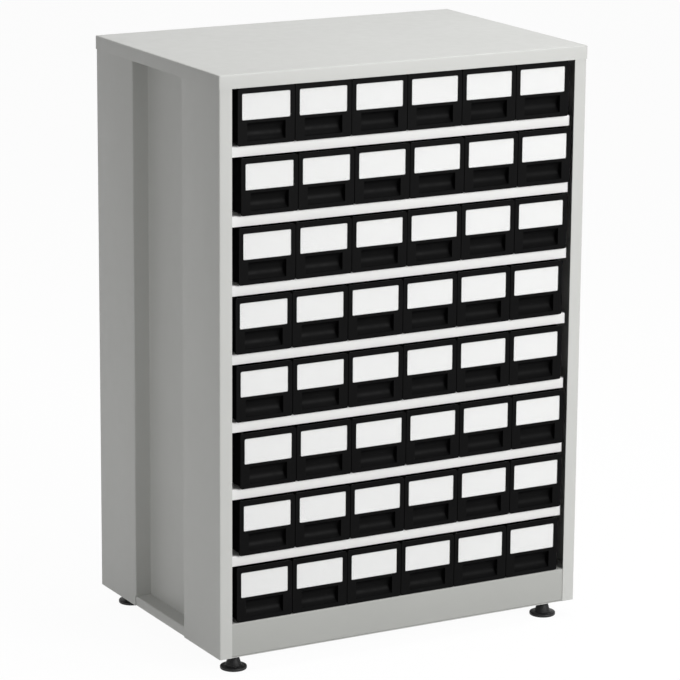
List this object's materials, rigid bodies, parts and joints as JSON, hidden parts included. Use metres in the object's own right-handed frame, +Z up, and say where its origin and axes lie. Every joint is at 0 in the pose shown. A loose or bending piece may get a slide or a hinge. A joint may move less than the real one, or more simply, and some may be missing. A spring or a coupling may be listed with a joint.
{
  "type": "parts bin cabinet",
  "caption": "Open-fronted folded sheet-steel cabinet holding rows of slide-out black plastic bins with label cards on sheet shelves, standing on levelling feet.",
  "frame": {"origin": "middle of the footprint on the floor", "axes": "+Z up, front (the bins' label cards) towards -Y, +X to the right seen from the front"},
  "size_m": [0.6, 0.4, 0.87],
  "materials": {
    "paint": "fine powder coat, light grey",
    "shelf_paint": "powder coat, near white",
    "bin_plastic": "moulded black plastic, satin",
    "foot_plastic": "moulded black plastic",
    "zinc": "bright zinc plated"
  },
  "bodies": {
    "cabinet": {"cover": "paint", "left_side": "paint", "right_side": "paint", "back_panel": "paint", "base_shelf": "paint", "base_tray": "paint", "shelves": "shelf_paint", "foot_pads": "foot_plastic", "foot_studs": "zinc", "lock_nuts": "zinc", "weld_nuts": "zinc"},
    "bin_r1_c1": {"bin_r1_c1": "bin_plastic"},
    "bin_r1_c2": {"bin_r1_c2": "bin_plastic"},
    "bin_r1_c3": {"bin_r1_c3": "bin_plastic"},
    "bin_r1_c4": {"bin_r1_c4": "bin_plastic"},
    "bin_r1_c5": {"bin_r1_c5": "bin_plastic"},
    "bin_r1_c6": {"bin_r1_c6": "bin_plastic"},
    "bin_r2_c1": {"bin_r2_c1": "bin_plastic"},
    "bin_r2_c2": {"bin_r2_c2": "bin_plastic"},
    "bin_r2_c3": {"bin_r2_c3": "bin_plastic"},
    "bin_r2_c4": {"bin_r2_c4": "bin_plastic"},
    "bin_r2_c5": {"bin_r2_c5": "bin_plastic"},
    "bin_r2_c6": {"bin_r2_c6": "bin_plastic"},
    "bin_r3_c1": {"bin_r3_c1": "bin_plastic"},
    "bin_r3_c2": {"bin_r3_c2": "bin_plastic"},
    "bin_r3_c3": {"bin_r3_c3": "bin_plastic"},
    "bin_r3_c4": {"bin_r3_c4": "bin_plastic"},
    "bin_r3_c5": {"bin_r3_c5": "bin_plastic"},
    "bin_r3_c6": {"bin_r3_c6": "bin_plastic"},
    "bin_r4_c1": {"bin_r4_c1": "bin_plastic"},
    "bin_r4_c2": {"bin_r4_c2": "bin_plastic"},
    "bin_r4_c3": {"bin_r4_c3": "bin_plastic"},
    "bin_r4_c4": {"bin_r4_c4": "bin_plastic"},
    "bin_r4_c5": {"bin_r4_c5": "bin_plastic"},
    "bin_r4_c6": {"bin_r4_c6": "bin_plastic"},
    "bin_r5_c1": {"bin_r5_c1": "bin_plastic"},
    "bin_r5_c2": {"bin_r5_c2": "bin_plastic"},
    "bin_r5_c3": {"bin_r5_c3": "bin_plastic"},
    "bin_r5_c4": {"bin_r5_c4": "bin_plastic"},
    "bin_r5_c5": {"bin_r5_c5": "bin_plastic"},
    "bin_r5_c6": {"bin_r5_c6": "bin_plastic"},
    "bin_r6_c1": {"bin_r6_c1": "bin_plastic"},
    "bin_r6_c2": {"bin_r6_c2": "bin_plastic"},
    "bin_r6_c3": {"bin_r6_c3": "bin_plastic"},
    "bin_r6_c4": {"bin_r6_c4": "bin_plastic"},
    "bin_r6_c5": {"bin_r6_c5": "bin_plastic"},
    "bin_r6_c6": {"bin_r6_c6": "bin_plastic"},
    "bin_r7_c1": {"bin_r7_c1": "bin_plastic"},
    "bin_r7_c2": {"bin_r7_c2": "bin_plastic"},
    "bin_r7_c3": {"bin_r7_c3": "bin_plastic"},
    "bin_r7_c4": {"bin_r7_c4": "bin_plastic"},
    "bin_r7_c5": {"bin_r7_c5": "bin_plastic"},
    "bin_r7_c6": {"bin_r7_c6": "bin_plastic"},
    "bin_r8_c1": {"bin_r8_c1": "bin_plastic"},
    "bin_r8_c2": {"bin_r8_c2": "bin_plastic"},
    "bin_r8_c3": {"bin_r8_c3": "bin_plastic"},
    "bin_r8_c4": {"bin_r8_c4": "bin_plastic"},
    "bin_r8_c5": {"bin_r8_c5": "bin_plastic"},
    "bin_r8_c6": {"bin_r8_c6": "bin_plastic"}
  },
  "joints": [
    {"name": "slide_r1_c1", "type": "slide", "parent": "cabinet", "child": "bin_r1_c1", "axis": [0, -1, 0], "range_m": [0, 0.3275]},
    {"name": "slide_r1_c2", "type": "slide", "parent": "cabinet", "child": "bin_r1_c2", "axis": [0, -1, 0], "range_m": [0, 0.3275]},
    {"name": "slide_r1_c3", "type": "slide", "parent": "cabinet", "child": "bin_r1_c3", "axis": [0, -1, 0], "range_m": [0, 0.3275]},
    {"name": "slide_r1_c4", "type": "slide", "parent": "cabinet", "child": "bin_r1_c4", "axis": [0, -1, 0], "range_m": [0, 0.3275]},
    {"name": "slide_r1_c5", "type": "slide", "parent": "cabinet", "child": "bin_r1_c5", "axis": [0, -1, 0], "range_m": [0, 0.3275]},
    {"name": "slide_r1_c6", "type": "slide", "parent": "cabinet", "child": "bin_r1_c6", "axis": [0, -1, 0], "range_m": [0, 0.3275]},
    {"name": "slide_r2_c1", "type": "slide", "parent": "cabinet", "child": "bin_r2_c1", "axis": [0, -1, 0], "range_m": [0, 0.3185]},
    {"name": "slide_r2_c2", "type": "slide", "parent": "cabinet", "child": "bin_r2_c2", "axis": [0, -1, 0], "range_m": [0, 0.3185]},
    {"name": "slide_r2_c3", "type": "slide", "parent": "cabinet", "child": "bin_r2_c3", "axis": [0, -1, 0], "range_m": [0, 0.3185]},
    {"name": "slide_r2_c4", "type": "slide", "parent": "cabinet", "child": "bin_r2_c4", "axis": [0, -1, 0], "range_m": [0, 0.3185]},
    {"name": "slide_r2_c5", "type": "slide", "parent": "cabinet", "child": "bin_r2_c5", "axis": [0, -1, 0], "range_m": [0, 0.3185]},
    {"name": "slide_r2_c6", "type": "slide", "parent": "cabinet", "child": "bin_r2_c6", "axis": [0, -1, 0], "range_m": [0, 0.3185]},
    {"name": "slide_r3_c1", "type": "slide", "parent": "cabinet", "child": "bin_r3_c1", "axis": [0, -1, 0], "range_m": [0, 0.3185]},
    {"name": "slide_r3_c2", "type": "slide", "parent": "cabinet", "child": "bin_r3_c2", "axis": [0, -1, 0], "range_m": [0, 0.3185]},
    {"name": "slide_r3_c3", "type": "slide", "parent": "cabinet", "child": "bin_r3_c3", "axis": [0, -1, 0], "range_m": [0, 0.3185]},
    {"name": "slide_r3_c4", "type": "slide", "parent": "cabinet", "child": "bin_r3_c4", "axis": [0, -1, 0], "range_m": [0, 0.3185]},
    {"name": "slide_r3_c5", "type": "slide", "parent": "cabinet", "child": "bin_r3_c5", "axis": [0, -1, 0], "range_m": [0, 0.3185]},
    {"name": "slide_r3_c6", "type": "slide", "parent": "cabinet", "child": "bin_r3_c6", "axis": [0, -1, 0], "range_m": [0, 0.3185]},
    {"name": "slide_r4_c1", "type": "slide", "parent": "cabinet", "child": "bin_r4_c1", "axis": [0, -1, 0], "range_m": [0, 0.3185]},
    {"name": "slide_r4_c2", "type": "slide", "parent": "cabinet", "child": "bin_r4_c2", "axis": [0, -1, 0], "range_m": [0, 0.3185]},
    {"name": "slide_r4_c3", "type": "slide", "parent": "cabinet", "child": "bin_r4_c3", "axis": [0, -1, 0], "range_m": [0, 0.3185]},
    {"name": "slide_r4_c4", "type": "slide", "parent": "cabinet", "child": "bin_r4_c4", "axis": [0, -1, 0], "range_m": [0, 0.3185]},
    {"name": "slide_r4_c5", "type": "slide", "parent": "cabinet", "child": "bin_r4_c5", "axis": [0, -1, 0], "range_m": [0, 0.3185]},
    {"name": "slide_r4_c6", "type": "slide", "parent": "cabinet", "child": "bin_r4_c6", "axis": [0, -1, 0], "range_m": [0, 0.3185]},
    {"name": "slide_r5_c1", "type": "slide", "parent": "cabinet", "child": "bin_r5_c1", "axis": [0, -1, 0], "range_m": [0, 0.3185]},
    {"name": "slide_r5_c2", "type": "slide", "parent": "cabinet", "child": "bin_r5_c2", "axis": [0, -1, 0], "range_m": [0, 0.3185]},
    {"name": "slide_r5_c3", "type": "slide", "parent": "cabinet", "child": "bin_r5_c3", "axis": [0, -1, 0], "range_m": [0, 0.3185]},
    {"name": "slide_r5_c4", "type": "slide", "parent": "cabinet", "child": "bin_r5_c4", "axis": [0, -1, 0], "range_m": [0, 0.3185]},
    {"name": "slide_r5_c5", "type": "slide", "parent": "cabinet", "child": "bin_r5_c5", "axis": [0, -1, 0], "range_m": [0, 0.3185]},
    {"name": "slide_r5_c6", "type": "slide", "parent": "cabinet", "child": "bin_r5_c6", "axis": [0, -1, 0], "range_m": [0, 0.3185]},
    {"name": "slide_r6_c1", "type": "slide", "parent": "cabinet", "child": "bin_r6_c1", "axis": [0, -1, 0], "range_m": [0, 0.3185]},
    {"name": "slide_r6_c2", "type": "slide", "parent": "cabinet", "child": "bin_r6_c2", "axis": [0, -1, 0], "range_m": [0, 0.3185]},
    {"name": "slide_r6_c3", "type": "slide", "parent": "cabinet", "child": "bin_r6_c3", "axis": [0, -1, 0], "range_m": [0, 0.3185]},
    {"name": "slide_r6_c4", "type": "slide", "parent": "cabinet", "child": "bin_r6_c4", "axis": [0, -1, 0], "range_m": [0, 0.3185]},
    {"name": "slide_r6_c5", "type": "slide", "parent": "cabinet", "child": "bin_r6_c5", "axis": [0, -1, 0], "range_m": [0, 0.3185]},
    {"name": "slide_r6_c6", "type": "slide", "parent": "cabinet", "child": "bin_r6_c6", "axis": [0, -1, 0], "range_m": [0, 0.3185]},
    {"name": "slide_r7_c1", "type": "slide", "parent": "cabinet", "child": "bin_r7_c1", "axis": [0, -1, 0], "range_m": [0, 0.3185]},
    {"name": "slide_r7_c2", "type": "slide", "parent": "cabinet", "child": "bin_r7_c2", "axis": [0, -1, 0], "range_m": [0, 0.3185]},
    {"name": "slide_r7_c3", "type": "slide", "parent": "cabinet", "child": "bin_r7_c3", "axis": [0, -1, 0], "range_m": [0, 0.3185]},
    {"name": "slide_r7_c4", "type": "slide", "parent": "cabinet", "child": "bin_r7_c4", "axis": [0, -1, 0], "range_m": [0, 0.3185]},
    {"name": "slide_r7_c5", "type": "slide", "parent": "cabinet", "child": "bin_r7_c5", "axis": [0, -1, 0], "range_m": [0, 0.3185]},
    {"name": "slide_r7_c6", "type": "slide", "parent": "cabinet", "child": "bin_r7_c6", "axis": [0, -1, 0], "range_m": [0, 0.3185]},
    {"name": "slide_r8_c1", "type": "slide", "parent": "cabinet", "child": "bin_r8_c1", "axis": [0, -1, 0], "range_m": [0, 0.3185]},
    {"name": "slide_r8_c2", "type": "slide", "parent": "cabinet", "child": "bin_r8_c2", "axis": [0, -1, 0], "range_m": [0, 0.3185]},
    {"name": "slide_r8_c3", "type": "slide", "parent": "cabinet", "child": "bin_r8_c3", "axis": [0, -1, 0], "range_m": [0, 0.3185]},
    {"name": "slide_r8_c4", "type": "slide", "parent": "cabinet", "child": "bin_r8_c4", "axis": [0, -1, 0], "range_m": [0, 0.3185]},
    {"name": "slide_r8_c5", "type": "slide", "parent": "cabinet", "child": "bin_r8_c5", "axis": [0, -1, 0], "range_m": [0, 0.3185]},
    {"name": "slide_r8_c6", "type": "slide", "parent": "cabinet", "child": "bin_r8_c6", "axis": [0, -1, 0], "range_m": [0, 0.3185]}
  ]
}
